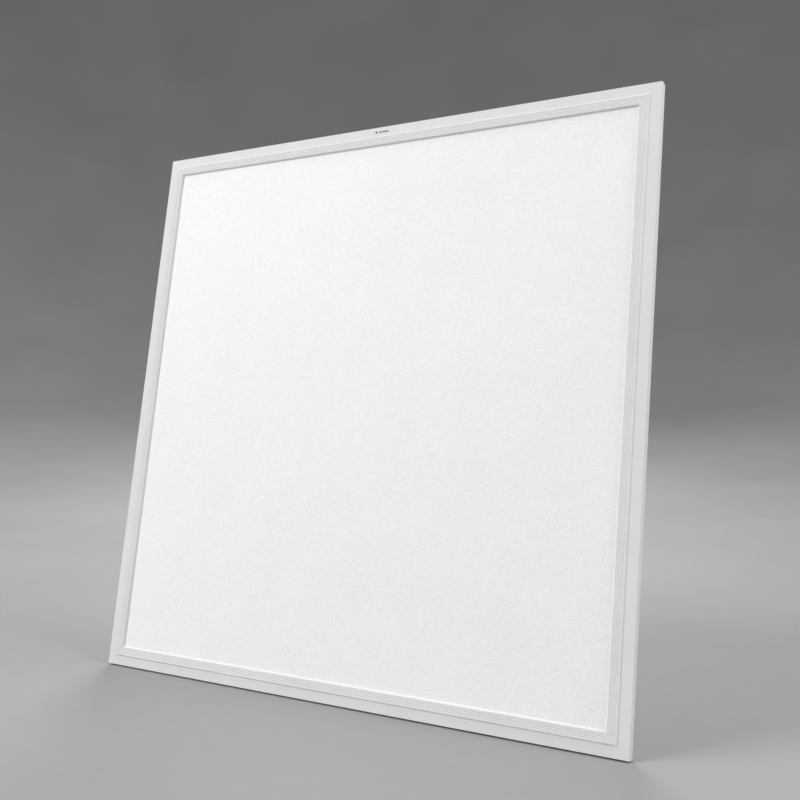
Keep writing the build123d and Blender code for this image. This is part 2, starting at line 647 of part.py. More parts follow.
with BuildPart() as back_cover:
    with BuildSketch(upright(COVER_BACK)):
        with Locations((0, HALF)):
            RectangleRounded(COVER_SIDE, COVER_SIDE, COVER_CORNER_RADIUS)
    extrude(amount=COVER_THICKNESS)
    with BuildSketch(upright(COVER_BACK)):
        add(bead_outlines(BEAD_WIDTH))
    extrude(amount=-BEAD_HEIGHT, taper=45)
    with BuildSketch(upright(LEDGE_BACK)):
        add(bead_outlines(BEAD_WIDTH - COVER_THICKNESS))
    extrude(amount=-BEAD_HEIGHT, taper=45, mode=Mode.SUBTRACT)
    with BuildSketch(upright(COVER_BACK)):
        with Locations(*[(point.X, point.Z) for point in KEY_SCREW_POINTS + COVER_SCREW_POINTS]):
            Circle(M3_CLEAR_RADIUS)
        with Locations(*[(point.X, point.Z) for point in SUSPENSION_POINTS]):
            Circle(SUSPENSION_CLEAR_RADIUS)
        with Locations(*BOX_RIVET_POINTS, *LUG_RIVET_POINTS):
            Circle(RIVET_HOLE_RADIUS)
        with Locations((0, BUSHING_Z)):
            SlotOverall(*BUSHING_HOLE)
    extrude(amount=COVER_THICKNESS, mode=Mode.SUBTRACT)
back_cover.part.label = "back_cover"
export_step(back_cover.part, "parts/back_cover.step")

cover_screw = wafer_screw(SCREW_HEAD_RADIUS, SCREW_HEAD_HEIGHT, M3_SHANK_RADIUS, COVER_SCREW_LENGTH)
with BuildPart() as back_cover_screws:
    with Locations(*[facing_back(point.X, COVER_BACK, point.Z) for point in COVER_SCREW_POINTS]):
        add(cover_screw)
back_cover_screws.part.label = "back_cover_screws"
export_step(back_cover_screws.part, "parts/back_cover_screws.step")

with BuildPart() as rating_label:
    with BuildSketch(upright(COVER_BACK)):
        with Locations((0, LABEL_CENTRE_Z)):
            RectangleRounded(LABEL_WIDTH, LABEL_HEIGHT, LABEL_CORNER_RADIUS)
    extrude(amount=-LABEL_THICKNESS)
rating_label.part.label = "rating_label"
export_step(rating_label.part, "parts/rating_label.step")

# ---------------------------------------------------------------- terminal box
box_inside = (BOX_WIDTH - 2 * BOX_WALL, BOX_HEIGHT - 2 * BOX_WALL)
with BuildPart() as terminal_box_base:
    with BuildSketch(upright(LID_UNDERSIDE)):
        with Locations((0, BOX_CENTRE_Z)):
            RectangleRounded(BOX_WIDTH, BOX_HEIGHT, BOX_CORNER_RADIUS)
    extrude(amount=LID_UNDERSIDE - COVER_BACK)
    with BuildSketch(upright(LID_UNDERSIDE)):
        with Locations((0, BOX_CENTRE_Z)):
            RectangleRounded(*box_inside, BOX_CORNER_RADIUS - BOX_WALL)
    extrude(amount=LID_UNDERSIDE - BOX_FLOOR_TOP, mode=Mode.SUBTRACT)
    with BuildSketch(upright(LID_UNDERSIDE)):
        with Locations(*BOSS_POINTS):
            Circle(BOSS_RADIUS)
    extrude(amount=LID_UNDERSIDE - BOX_FLOOR_TOP)
    with BuildSketch(upright(PCB_BOTTOM)):
        with Locations(*PCB_SCREW_POINTS):
            Circle(STANDOFF_RADIUS)
    extrude(amount=PCB_LIFT)
    with Locations(*[facing_back(x, LID_UNDERSIDE, z) for x, z in BOSS_POINTS]):
        Hole(radius=BOSS_PILOT_RADIUS, depth=BOSS_PILOT_DEPTH)
    with Locations(*[facing_back(x, PCB_BOTTOM, z) for x, z in PCB_SCREW_POINTS]):
        Hole(radius=STANDOFF_PILOT_RADIUS, depth=STANDOFF_PILOT_DEPTH)
    with Locations(*[facing_back(x, BOX_FLOOR_TOP, z) for x, z in BOX_RIVET_POINTS]):
        Hole(radius=RIVET_HOLE_RADIUS, depth=BOX_FLOOR)
    with BuildSketch(upright(BOX_FLOOR_TOP)):
        with Locations((0, BUSHING_Z)):
            SlotOverall(*BUSHING_HOLE)
    extrude(amount=BOX_FLOOR, mode=Mode.SUBTRACT)
    with BuildSketch(Plane.XY.offset(BOX_BOTTOM_Z)):
        with Locations((0, GROMMET_CENTRE_Y)):
            Circle(GROMMET_NECK_RADIUS)
    extrude(amount=BOX_WALL, mode=Mode.SUBTRACT)
terminal_box_base.part.label = "terminal_box_base"
export_step(terminal_box_base.part, "parts/terminal_box_base.step")

rib_offset = BOX_HEIGHT / 2 - BOX_WALL - LID_RIB_CLEARANCE - LID_RIB_WIDTH / 2
with BuildPart() as terminal_box_lid:
    with BuildSketch(upright(BOX_BACK)):
        with Locations((0, BOX_CENTRE_Z)):
            RectangleRounded(BOX_WIDTH, BOX_HEIGHT, BOX_CORNER_RADIUS)
    extrude(amount=LID_THICKNESS)
    fillet(terminal_box_lid.edges().group_by(Axis.Y)[-1], radius=LID_EDGE_RADIUS)
    with BuildSketch(upright(LID_UNDERSIDE)):
        for sign_x, sign_z in CORNERS.values():
            with Locations((sign_x * LID_RIB_LENGTH, BOX_CENTRE_Z + sign_z * rib_offset)):
                Rectangle(LID_RIB_LENGTH, LID_RIB_WIDTH)
    extrude(amount=LID_RIB_DEPTH)
    with Locations(*[facing_back(x, BOX_BACK, z) for x, z in BOSS_POINTS]):
        CounterBoreHole(
            radius=LID_HOLE_RADIUS,
            counter_bore_radius=LID_RECESS_RADIUS,
            counter_bore_depth=LID_RECESS_DEPTH,
            depth=LID_THICKNESS,
        )
terminal_box_lid.part.label = "terminal_box_lid"
export_step(terminal_box_lid.part, "parts/terminal_box_lid.step")

lid_screw = wafer_screw(
    LID_SCREW_HEAD_RADIUS, LID_SCREW_HEAD_HEIGHT, LID_SCREW_SHANK_RADIUS, LID_SCREW_LENGTH
)
with BuildPart() as terminal_lid_screws:
    with Locations(*[facing_back(x, BOX_BACK - LID_RECESS_DEPTH, z) for x, z in BOSS_POINTS]):
        add(lid_screw)
terminal_lid_screws.part.label = "terminal_lid_screws"
export_step(terminal_lid_screws.part, "parts/terminal_lid_screws.step")

box_rivet = blind_rivet(BOX_FLOOR + COVER_THICKNESS)
with BuildPart() as terminal_box_rivets:
    with Locations(*[facing_back(x, BOX_FLOOR_TOP, z) for x, z in BOX_RIVET_POINTS]):
        add(box_rivet)
terminal_box_rivets.part.label = "terminal_box_rivets"
export_step(terminal_box_rivets.part, "parts/terminal_box_rivets.step")

# The oval bushing lines the hole where the four feed wires enter the box.
with BuildPart() as wire_bushing:
    with BuildSketch(upright(BOX_FLOOR_TOP)):
        with Locations((0, BUSHING_Z)):
            SlotOverall(*BUSHING_HOLE)
    extrude(amount=BOX_FLOOR_TOP - LEDGE_BACK)
    with BuildSketch(upright(BOX_FLOOR_TOP + BUSHING_FLANGE)):
        with Locations((0, BUSHING_Z)):
            SlotOverall(*[size + 2 * BUSHING_FLANGE_REACH for size in BUSHING_HOLE])
    extrude(amount=BUSHING_FLANGE)
    with BuildSketch(upright(BOX_FLOOR_TOP + BUSHING_FLANGE)):
        with Locations((0, BUSHING_Z)):
            SlotOverall(BUSHING_OPEN_WIDTH, BUSHING_OPEN_HEIGHT)
    extrude(amount=BOX_FLOOR_TOP + BUSHING_FLANGE - LEDGE_BACK, mode=Mode.SUBTRACT)
wire_bushing.part.label = "wire_bushing"
export_step(wire_bushing.part, "parts/wire_bushing.step")

with BuildPart() as cable_grommet:
    with BuildSketch(Plane.XY.offset(BOX_BOTTOM_Z - GROMMET_FLANGE)):
        with Locations((0, GROMMET_CENTRE_Y)):
            Circle(GROMMET_FLANGE_RADIUS)
    extrude(amount=GROMMET_FLANGE)
    with BuildSketch(Plane.XY.offset(BOX_BOTTOM_Z)):
        with Locations((0, GROMMET_CENTRE_Y)):
            Circle(GROMMET_NECK_RADIUS)
    extrude(amount=BOX_WALL)
    with BuildSketch(Plane.XY.offset(BOX_BOTTOM_Z + BOX_WALL)):
        with Locations((0, GROMMET_CENTRE_Y)):
            Circle(GROMMET_FLANGE_RADIUS)
    extrude(amount=GROMMET_FLANGE)
    fillet(cable_grommet.edges().group_by(Axis.Z)[0], radius=GROMMET_EDGE_RADIUS)
    with BuildSketch(Plane.XY.offset(BOX_BOTTOM_Z - GROMMET_FLANGE)):
        with Locations((0, GROMMET_CENTRE_Y)):
            Circle(GROMMET_BORE_RADIUS)
    extrude(amount=2 * GROMMET_FLANGE + BOX_WALL, mode=Mode.SUBTRACT)
cable_grommet.part.label = "cable_grommet"
export_step(cable_grommet.part, "parts/cable_grommet.step")

# ----------------------------------------------------- junction board and block
with BuildPart() as junction_board:
    with BuildSketch(upright(PCB_TOP)):
        with Locations((0, PCB_CENTRE_Z)):
            Rectangle(PCB_WIDTH, PCB_HEIGHT)
        with Locations(*PCB_SCREW_POINTS):
            Circle(PCB_HOLE_RADIUS, mode=Mode.SUBTRACT)
    extrude(amount=PCB_THICKNESS)
junction_board.part.label = "junction_board"
export_step(junction_board.part, "parts/junction_board.step")

board_screw = wafer_screw(
    PCB_SCREW_HEAD_RADIUS, PCB_SCREW_HEAD_HEIGHT, PCB_SCREW_SHANK_RADIUS, PCB_SCREW_LENGTH
)
with BuildPart() as junction_board_screws:
    with Locations(*[facing_back(x, PCB_TOP, z) for x, z in PCB_SCREW_POINTS]):
        add(board_screw)
junction_board_screws.part.label = "junction_board_screws"
export_step(junction_board_screws.part, "parts/junction_board_screws.step")

with BuildPart() as terminal_block:
    with BuildSketch(upright(PCB_TOP + BLOCK_HEIGHT)):
        with Locations((0, BLOCK_CENTRE_Z)):
            Rectangle(BLOCK_WIDTH, BLOCK_LENGTH)
    extrude(amount=BLOCK_HEIGHT)
    front_edge = terminal_block.edges().group_by(Axis.Y)[-1].sort_by(Axis.Z)[0]
    chamfer(front_edge, length=BLOCK_CHAMFER)
    with BuildSketch(Plane.XY.offset(BLOCK_FACE_Z)):
        with Locations(*[(x, CAGE_Y) for x in POLE_XS]):
            Rectangle(CAVITY_SIDE, CAVITY_SIDE)
    extrude(amount=CAVITY_DEPTH, mode=Mode.SUBTRACT)
    with Locations(*[facing_back(x, PCB_TOP + BLOCK_HEIGHT, CLAMP_Z) for x in POLE_XS]):
        Hole(radius=DRIVER_HOLE_RADIUS, depth=PCB_TOP + BLOCK_HEIGHT - CAGE_BACK)
terminal_block.part.label = "terminal_block"
export_step(terminal_block.part, "parts/terminal_block.step")

with BuildPart() as terminal_contacts:
    with BuildSketch(Plane.XY.offset(BLOCK_FACE_Z + CAGE_SETBACK)):
        with Locations(*[(x, CAGE_Y) for x in POLE_XS]):
            Rectangle(CAGE_SIDE, CAGE_SIDE)
            Circle(WIRE_PORT_RADIUS, mode=Mode.SUBTRACT)
    extrude(amount=CAGE_LENGTH)
    with Locations(*[facing_back(x, CAGE_BACK, CLAMP_Z) for x in POLE_XS]):
        Hole(radius=CLAMP_TAP_RADIUS, depth=CAGE_SIDE / 2)
terminal_contacts.part.label = "terminal_contacts"
export_step(terminal_contacts.part, "parts/terminal_contacts.step")

clamp_screw = wafer_screw(
    CLAMP_SCREW_HEAD_RADIUS,
    CLAMP_SCREW_HEAD_HEIGHT,
    CLAMP_SCREW_SHANK_RADIUS,
    CLAMP_SCREW_LENGTH,
)
clamp_head_y = CAGE_BACK + CLAMP_SCREW_STANDOFF
with BuildPart() as terminal_clamp_screws:
    with Locations(*[facing_back(x, clamp_head_y, CLAMP_Z) for x in POLE_XS]):
        add(clamp_screw)
terminal_clamp_screws.part.label = "terminal_clamp_screws"
export_step(terminal_clamp_screws.part, "parts/terminal_clamp_screws.step")

# ------------------------------------------------------------------ safety lug
with BuildPart() as safety_lug:
    with BuildSketch(Plane.XY.offset(LUG_Z - LUG_WIDTH / 2)):
        with BuildLine():
            Polyline(
                (LUG_X, COVER_BACK),
                (LUG_X + LUG_BASE, COVER_BACK),
                (LUG_X + LUG_BASE, COVER_BACK + LUG_SHEET),
                (LUG_X + LUG_SHEET, COVER_BACK + LUG_SHEET),
                (LUG_X + LUG_SHEET, LUG_TOP),
                (LUG_X, LUG_TOP),
                close=True,
            )
        make_face()
    extrude(amount=LUG_WIDTH)
    tip_edges = safety_lug.edges().filter_by(Axis.X).group_by(Axis.Y)[-1]
    fillet(tip_edges, radius=LUG_TIP_RADIUS)
    heel = safety_lug.edges().filter_by(Axis.Z).group_by(Axis.Y)[0].sort_by(Axis.X)[0]
    fillet(heel, radius=LUG_HEEL_RADIUS)
    with Locations(Plane(origin=(LUG_X + LUG_SHEET, LUG_HOLE_Y, LUG_Z), z_dir=(1, 0, 0))):
        Hole(radius=LUG_HOLE_RADIUS, depth=LUG_SHEET)
    with Locations(*[facing_back(x, COVER_BACK + LUG_SHEET, z) for x, z in LUG_RIVET_POINTS]):
        Hole(radius=RIVET_HOLE_RADIUS, depth=LUG_SHEET)
safety_lug.part.label = "safety_lug"
export_step(safety_lug.part, "parts/safety_lug.step")

lug_rivet = blind_rivet(LUG_SHEET + COVER_THICKNESS)
with BuildPart() as safety_lug_rivets:
    with Locations(*[facing_back(x, COVER_BACK + LUG_SHEET, z) for x, z in LUG_RIVET_POINTS]):
        add(lug_rivet)
safety_lug_rivets.part.label = "safety_lug_rivets"
export_step(safety_lug_rivets.part, "parts/safety_lug_rivets.step")
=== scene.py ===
"""LED panel light: finishes, printed marks, floor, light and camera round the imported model.

Everything is in metres, in the panel's own frame: X runs across the panel, Z up it, and
its light leaves towards -Y. The panel is upright in this frame. It leans back in the
picture because the floor and the camera are tipped the other way.
"""

import math

import bmesh
import bpy
from mathutils import Matrix, Vector


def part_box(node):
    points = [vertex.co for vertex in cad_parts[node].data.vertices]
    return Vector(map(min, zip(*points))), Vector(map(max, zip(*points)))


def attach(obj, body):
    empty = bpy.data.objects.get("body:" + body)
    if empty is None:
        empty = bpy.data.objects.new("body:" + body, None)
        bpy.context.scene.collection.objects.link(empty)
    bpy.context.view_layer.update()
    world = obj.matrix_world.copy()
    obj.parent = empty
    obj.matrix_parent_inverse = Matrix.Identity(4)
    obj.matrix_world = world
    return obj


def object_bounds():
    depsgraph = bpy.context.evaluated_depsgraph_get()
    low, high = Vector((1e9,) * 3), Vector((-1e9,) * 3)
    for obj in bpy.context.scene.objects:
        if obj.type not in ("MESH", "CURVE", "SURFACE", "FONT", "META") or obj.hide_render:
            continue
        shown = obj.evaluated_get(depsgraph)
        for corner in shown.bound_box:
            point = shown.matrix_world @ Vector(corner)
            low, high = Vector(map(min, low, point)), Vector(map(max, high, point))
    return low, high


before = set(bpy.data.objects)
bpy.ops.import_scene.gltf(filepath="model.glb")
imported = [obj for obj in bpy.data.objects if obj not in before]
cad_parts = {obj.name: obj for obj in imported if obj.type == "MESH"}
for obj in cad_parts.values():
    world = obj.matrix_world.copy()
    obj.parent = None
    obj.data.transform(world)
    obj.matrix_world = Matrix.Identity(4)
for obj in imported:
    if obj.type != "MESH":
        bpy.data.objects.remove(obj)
cad_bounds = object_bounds()

MM = 0.001

# The viewer sees the panel leaning back on the floor and turned, and stands so far from the
# middle of its bottom edge: to the right, back, and up, along the viewer's own axes.
LEAN = math.radians(10.0)
TURN = math.radians(30.0)
VIEW_ANGLE = math.radians(45.0)
SENSOR_WIDTH = 36.0  # in mm, as a Blender camera takes it
NEAREST_SEEN = 0.02
VIEWER_RIGHT = 0.0659
VIEWER_BACK = 0.9454
VIEWER_UP = 0.2972

# The floor is a wide disc that curves up into a wall all round.
FLOOR_RADIUS = 1.8
COVE_RADIUS = 5.4
WALL_TOP = 6.6
COVE_STEPS = 24
FLOOR_SECTORS = 96
SEAM_REACH = 0.01 * MM  # within which the spun floor's doubled points are merged

AMBIENT = 0.43
# name, direction from the panel, distance, width, power in watts
SOFTBOXES = (
    ("key_light", (-0.54, -0.64, 0.38), 5.2, 2.6, 217.0),
    ("right_fill", (0.85, -0.12, 0.62), 2.6, 1.1, 39.0),
    ("top_light", (0.0, 0.0, 1.0), 3.2, 1.8, 28.0),
    ("back_light", (-0.45, 0.70, 0.66), 2.7, 1.3, 38.0),
)

# Where most of a noise texture's values lie, for a blend of two tones and for a fine tint.
NOISE_SPREAD = (0.3, 0.7)
TINT_SPREAD = (0.25, 0.75)

INK_DEPTH = 0.03 * MM

# The front mark is on the top rail's flat seat, which lies behind the raised band.
SEAT_SETBACK = 1.0 * MM
MARK_BELOW_EDGE = 5.4 * MM
MARK_DIAMOND_X = -6.9 * MM
MARK_DIAMOND_REACH = 1.7 * MM
MARK_BAR_X = 2.0 * MM
MARK_BAR_LENGTH = 12.6 * MM
MARK_BAR_HEIGHT = 1.5 * MM

LABEL_MARGIN = 2.5 * MM
LABEL_LINE = 0.35 * MM
LABEL_HEADING = 8.0 * MM
LABEL_FIRST_COLUMN = 24.0 * MM
LABEL_ROWS = 5
LABEL_BAR_HEIGHT = 1.3 * MM
ENTRY_CENTRE = 10.0 * MM  # of a row's first bar, from the left line
ENTRY_LENGTHS = (11.0 * MM, 13.0 * MM, 15.0 * MM)
FIGURE_START = 4.0 * MM  # of a row's other bars, from the column line
FIGURE_PITCH = 15.5 * MM
FIGURE_LENGTHS = (13.0 * MM, 9.0 * MM, 13.0 * MM)


class Finish:
    """A procedural material, in the panel's own coordinates, so that its grain has a real size."""

    def __init__(self, name, constants=None):
        self.material = bpy.data.materials.new(name)
        self.material.use_nodes = True
        self.tree = self.material.node_tree
        self.shader = self.tree.nodes["Principled BSDF"]
        self.place = self.add("ShaderNodeTexCoord").outputs["Object"]
        for socket, value in (constants or {}).items():
            self.shader.inputs[socket].default_value = value

    def add(self, kind, values=None):
        node = self.tree.nodes.new(kind)
        for socket, value in (values or {}).items():
            node.inputs[socket].default_value = value
        return node

    def link(self, output, node_input):
        self.tree.links.new(output, node_input)

    def stretched(self, stretch):
        mapping = self.add("ShaderNodeMapping", {"Scale": [1 / amount for amount in stretch]})
        self.link(self.place, mapping.inputs["Vector"])
        return mapping.outputs["Vector"]

    def noise(self, size, detail=3.0, stretch=(1, 1, 1)):
        node = self.add("ShaderNodeTexNoise", {"Scale": 1 / size, "Detail": detail})
        self.link(self.stretched(stretch), node.inputs["Vector"])
        return node.outputs["Fac"]

    def cells(self, size, stretch=(1, 1, 1), edges=False):
        node = self.add("ShaderNodeTexVoronoi", {"Scale": 1 / size})
        node.feature = "DISTANCE_TO_EDGE" if edges else "F1"
        self.link(self.stretched(stretch), node.inputs["Vector"])
        return node.outputs["Distance"]

    def ramp(self, amount, stops):
        """Colours along a texture's value: (position, colour) from low to high."""
        node = self.add("ShaderNodeValToRGB")
        while len(node.color_ramp.elements) < len(stops):
            node.color_ramp.elements.new(0.5)
        for element, (position, colour) in zip(node.color_ramp.elements, stops):
            element.position = position
            element.color = (*colour, 1.0)
        self.link(amount, node.inputs["Fac"])
        return node.outputs["Color"]

    def two_tone(self, amount, low_colour, high_colour):
        """Two colours, blended over the part of a noise's range where most of it lies."""
        low, high = NOISE_SPREAD
        return self.ramp(amount, ((low, low_colour), (high, high_colour)))

    def tinted(self, colour, amount, low, high):
        """The colour times a grey that follows the texture from low to high."""
        node = self.add("ShaderNodeMix")
        node.data_type = "RGBA"
        node.blend_type = "MULTIPLY"
        node.inputs["Factor"].default_value = 1.0
        self.link(colour, node.inputs["A"])
        start, end = TINT_SPREAD
        self.link(self.ramp(amount, ((start, grey(low)), (end, grey(high)))), node.inputs["B"])
        return node.outputs["Result"]

    def colour(self, output):
        self.link(output, self.shader.inputs["Base Color"])

    def roughness(self, amount, low, high):
        start, end = NOISE_SPREAD
        values = {"From Min": start, "From Max": end, "To Min": low, "To Max": high}
        node = self.add("ShaderNodeMapRange", values)
        self.link(amount, node.inputs["Value"])
        self.link(node.outputs["Result"], self.shader.inputs["Roughness"])

    def relief(self, height, depth, strength=1.0):
        """Adds a bump of the given depth on top of the earlier ones."""
        node = self.add("ShaderNodeBump", {"Distance": depth, "Strength": strength})
        normal = self.shader.inputs["Normal"]
        if normal.is_linked:
            self.link(normal.links[0].from_socket, node.inputs["Normal"])
        self.link(height, node.inputs["Height"])
        self.link(node.outputs["Normal"], normal)


def grey(value, warmth=0.0):
    return (value * (1 + warmth), value, value * (1 - warmth))


# ------------------------------------------------------------------ the finishes
def powder_coat(name):
    """White powder coat: orange peel, a finer grain and a slight change of tone."""
    finish = Finish(name, {"IOR": 1.5, "Specular IOR Level": 0.2})
    tone = finish.two_tone(finish.noise(35 * MM, 4.0), grey(0.74), grey(0.77))
    finish.colour(finish.tinted(tone, finish.noise(0.5 * MM, 2.0), 0.975, 1.02))
    finish.roughness(finish.noise(3 * MM), 0.55, 0.65)
    finish.relief(finish.noise(1.3 * MM, 1.5), 0.012 * MM, 0.6)
    finish.relief(finish.noise(0.3 * MM, 2.0), 0.004 * MM, 0.5)
    return finish.material


def opal_plate(name):
    """Opal acrylic: pigment mottle at three sizes and a fine matte etch."""
    finish = Finish(name, {"IOR": 1.49, "Specular IOR Level": 0.5})
    tone = finish.two_tone(finish.noise(70 * MM, 3.0), grey(0.895), grey(0.915))
    tone = finish.tinted(tone, finish.noise(6 * MM, 3.0), 0.99, 1.006)
    finish.colour(finish.tinted(tone, finish.noise(1.5 * MM, 2.0), 0.93, 1.05))
    finish.roughness(finish.noise(1.2 * MM), 0.54, 0.64)
    finish.relief(finish.noise(0.7 * MM, 2.0), 0.012 * MM, 0.5)
    return finish.material


def coil_coated_steel(name):
    """White coil-coated sheet: roller streaks along X and a faint orange peel."""
    finish = Finish(name, {"IOR": 1.5, "Specular IOR Level": 0.45})
    tone = finish.two_tone(finish.noise(50 * MM, 3.0), grey(0.75, 0.002), grey(0.785, 0.002))
    streaks = finish.noise(0.6 * MM, 2.0, stretch=(60, 1, 1))
    finish.colour(finish.tinted(tone, streaks, 0.98, 1.015))
    finish.roughness(finish.noise(9 * MM), 0.34, 0.46)
    finish.relief(streaks, 0.004 * MM, 0.5)
    finish.relief(finish.noise(1.8 * MM, 1.5), 0.010 * MM, 0.5)
    return finish.material


def zinc_plate(name):
    """Blue-passivated zinc: cloudy tints, drawn scratches and worn high spots."""
    finish = Finish(name, {"Metallic": 1.0})
    tone = finish.ramp(
        finish.noise(2.5 * MM, 3.0),
        ((0.3, (0.50, 0.53, 0.57)), (0.55, (0.60, 0.62, 0.63)), (0.75, (0.66, 0.65, 0.61))),
    )
    scratches = finish.noise(0.12 * MM, 2.0, stretch=(12, 1, 1))
    finish.colour(finish.tinted(tone, scratches, 0.9, 1.05))
    finish.roughness(finish.noise(0.8 * MM), 0.24, 0.44)
    finish.relief(scratches, 0.006 * MM, 0.4)
    return finish.material


def rivet_metal(name):
    """Bright aluminium with the fine pits of a tumbled rivet."""
    finish = Finish(name, {"Metallic": 1.0})
    finish.colour(finish.two_tone(finish.noise(1.0 * MM, 3.0), grey(0.66), grey(0.78)))
    finish.roughness(finish.noise(0.5 * MM), 0.28, 0.45)
    finish.relief(finish.cells(0.25 * MM), 0.008 * MM, 0.5)
    return finish.material


def moulded_plastic(name, light, grain, low, high, warmth=0.0):
    """Moulded plastic with spark-eroded grain and slight flow marks."""
    finish = Finish(name, {"IOR": 1.52, "Specular IOR Level": 0.5})
    flow = finish.noise(14 * MM, 3.0, stretch=(2, 1, 1))
    tone = finish.two_tone(flow, grey(light * 0.96, warmth), grey(light, warmth))
    finish.colour(finish.tinted(tone, finish.noise(grain, 2.0), 0.96, 1.03))
    finish.roughness(finish.noise(grain * 3), low, high)
    finish.relief(finish.noise(grain, 3.0), 0.02 * MM, 0.6)
    return finish.material


def rubber(name, light, depth=0.02 * MM):
    """Moulded rubber: matte, with bloom and a fine pebbled skin."""
    finish = Finish(name, {"IOR": 1.5, "Specular IOR Level": 0.4})
    tone = finish.two_tone(finish.noise(1.6 * MM, 4.0), grey(light * 0.8), grey(light * 1.35))
    finish.colour(tone)
    finish.roughness(finish.noise(0.7 * MM), 0.62, 0.82)
    finish.relief(finish.cells(0.22 * MM), depth, 0.6)
    return finish.material


def foam(name, light, size):
    """Closed-cell foam: crowded cells with thin walls between them."""
    finish = Finish(name, {"IOR": 1.4, "Specular IOR Level": 0.2})
    walls = finish.cells(size, edges=True)
    tone = finish.ramp(
        walls,
        ((0.0, grey(light * 0.78)), (0.12, grey(light * 0.95)), (0.4, grey(light))),
    )
    finish.colour(finish.tinted(tone, finish.noise(4 * MM, 3.0), 0.95, 1.03))
    finish.roughness(finish.noise(size * 2), 0.85, 0.97)
    finish.relief(walls, size * 0.12, 0.7)
    return finish.material


def film(name, light):
    """White polyester film: a satin skin with a faint wave from its roll."""
    finish = Finish(name, {"IOR": 1.6, "Specular IOR Level": 0.5})
    tone = finish.two_tone(
        finish.noise(25 * MM, 2.0, stretch=(4, 1, 1)), grey(light * 0.975), grey(light)
    )
    finish.colour(finish.tinted(tone, finish.noise(0.25 * MM, 2.0), 0.98, 1.01))
    finish.roughness(finish.noise(2 * MM), 0.30, 0.42)
    finish.relief(finish.noise(18 * MM, 1.0, stretch=(5, 1, 1)), 0.05 * MM, 0.4)
    return finish.material


def acrylic_guide(name):
    """Clear acrylic whose back is etched with rows of small matte dots."""
    finish = Finish(name, {"IOR": 1.49, "Transmission Weight": 0.92})
    tone = finish.two_tone(finish.noise(60 * MM, 2.0), (0.90, 0.94, 0.94), (0.94, 0.96, 0.96))
    finish.colour(tone)
    dots = finish.cells(1.1 * MM)
    finish.roughness(dots, 0.18, 0.02)
    finish.relief(dots, 0.01 * MM, 0.3)
    return finish.material


def circuit_board(name, mask_dark, mask_light, rough_low, rough_high):
    """Solder mask over copper: the tracks show as slightly raised, lighter strips."""
    finish = Finish(name, {"IOR": 1.55, "Specular IOR Level": 0.55, "Coat Weight": 0.2})
    tracks = finish.cells(4.5 * MM, stretch=(1, 1, 2.2), edges=True)
    tone = finish.ramp(tracks, ((0.06, mask_light), (0.09, mask_dark)))
    finish.colour(finish.tinted(tone, finish.noise(0.35 * MM, 2.0), 0.93, 1.05))
    finish.roughness(finish.noise(1.5 * MM), rough_low, rough_high)
    finish.relief(tracks, 0.03 * MM, 0.4)
    finish.relief(finish.noise(0.3 * MM, 2.0), 0.006 * MM, 0.5)
    return finish.material


def phosphor(name):
    """Yellow phosphor in silicone: grains of two tones under a soft skin."""
    finish = Finish(name, {"IOR": 1.43, "Specular IOR Level": 0.5, "Coat Weight": 0.3})
    tone = finish.ramp(
        finish.cells(0.06 * MM),
        ((0.1, (0.90, 0.66, 0.13)), (0.6, (0.95, 0.80, 0.30))),
    )
    finish.colour(finish.tinted(tone, finish.noise(0.5 * MM, 2.0), 0.92, 1.03))
    finish.roughness(finish.noise(0.2 * MM), 0.30, 0.45)
    finish.relief(finish.noise(0.15 * MM, 2.0), 0.01 * MM, 0.5)
    return finish.material


def gap_tape(name):
    """Thermal tape: ceramic-filled, with the weave of its glass carrier."""
    finish = Finish(name, {"IOR": 1.5, "Specular IOR Level": 0.3})
    warp = finish.noise(0.25 * MM, 1.0, stretch=(1, 1, 8))
    weft = finish.noise(0.25 * MM, 1.0, stretch=(1, 8, 1))
    tone = finish.ramp(warp, ((0.35, grey(0.30, -0.03)), (0.65, grey(0.38, -0.03))))
    finish.colour(finish.tinted(tone, weft, 0.9, 1.08))
    finish.roughness(finish.noise(0.6 * MM), 0.7, 0.85)
    finish.relief(warp, 0.02 * MM, 0.5)
    finish.relief(weft, 0.02 * MM, 0.5)
    return finish.material


def soft_metal(name, dark, light, rough_low, rough_high):
    """Solder, brass and the like: cloudy tone, small dents and a satin skin."""
    finish = Finish(name, {"Metallic": 1.0})
    tone = finish.two_tone(finish.noise(0.9 * MM, 3.0), dark, light)
    finish.colour(finish.tinted(tone, finish.noise(0.15 * MM, 2.0), 0.93, 1.05))
    finish.roughness(finish.noise(0.4 * MM), rough_low, rough_high)
    finish.relief(finish.noise(0.35 * MM, 2.0), 0.015 * MM, 0.5)
    return finish.material


def insulation(name, dark, light):
    """Extruded PVC: glossy, with die lines along the wire and a little chalking."""
    finish = Finish(name, {"IOR": 1.53, "Specular IOR Level": 0.5})
    lines = finish.noise(0.12 * MM, 2.0, stretch=(20, 1, 20))
    tone = finish.two_tone(finish.noise(6 * MM, 3.0), dark, light)
    finish.colour(finish.tinted(tone, lines, 0.92, 1.05))
    finish.roughness(finish.noise(1.5 * MM), 0.32, 0.46)
    finish.relief(lines, 0.008 * MM, 0.5)
    return finish.material


def label_stock(name):
    """Coated label paper: faint fibres under a satin varnish."""
    finish = Finish(name, {"IOR": 1.5, "Specular IOR Level": 0.4})
    fibres = finish.noise(0.35 * MM, 3.0, stretch=(5, 1, 1))
    tone = finish.two_tone(finish.noise(12 * MM, 3.0), (0.70, 0.71, 0.72), (0.74, 0.75, 0.76))
    finish.colour(finish.tinted(tone, fibres, 0.975, 1.015))
    finish.roughness(finish.noise(2 * MM), 0.35, 0.5)
    finish.relief(fibres, 0.005 * MM, 0.5)
    return finish.material


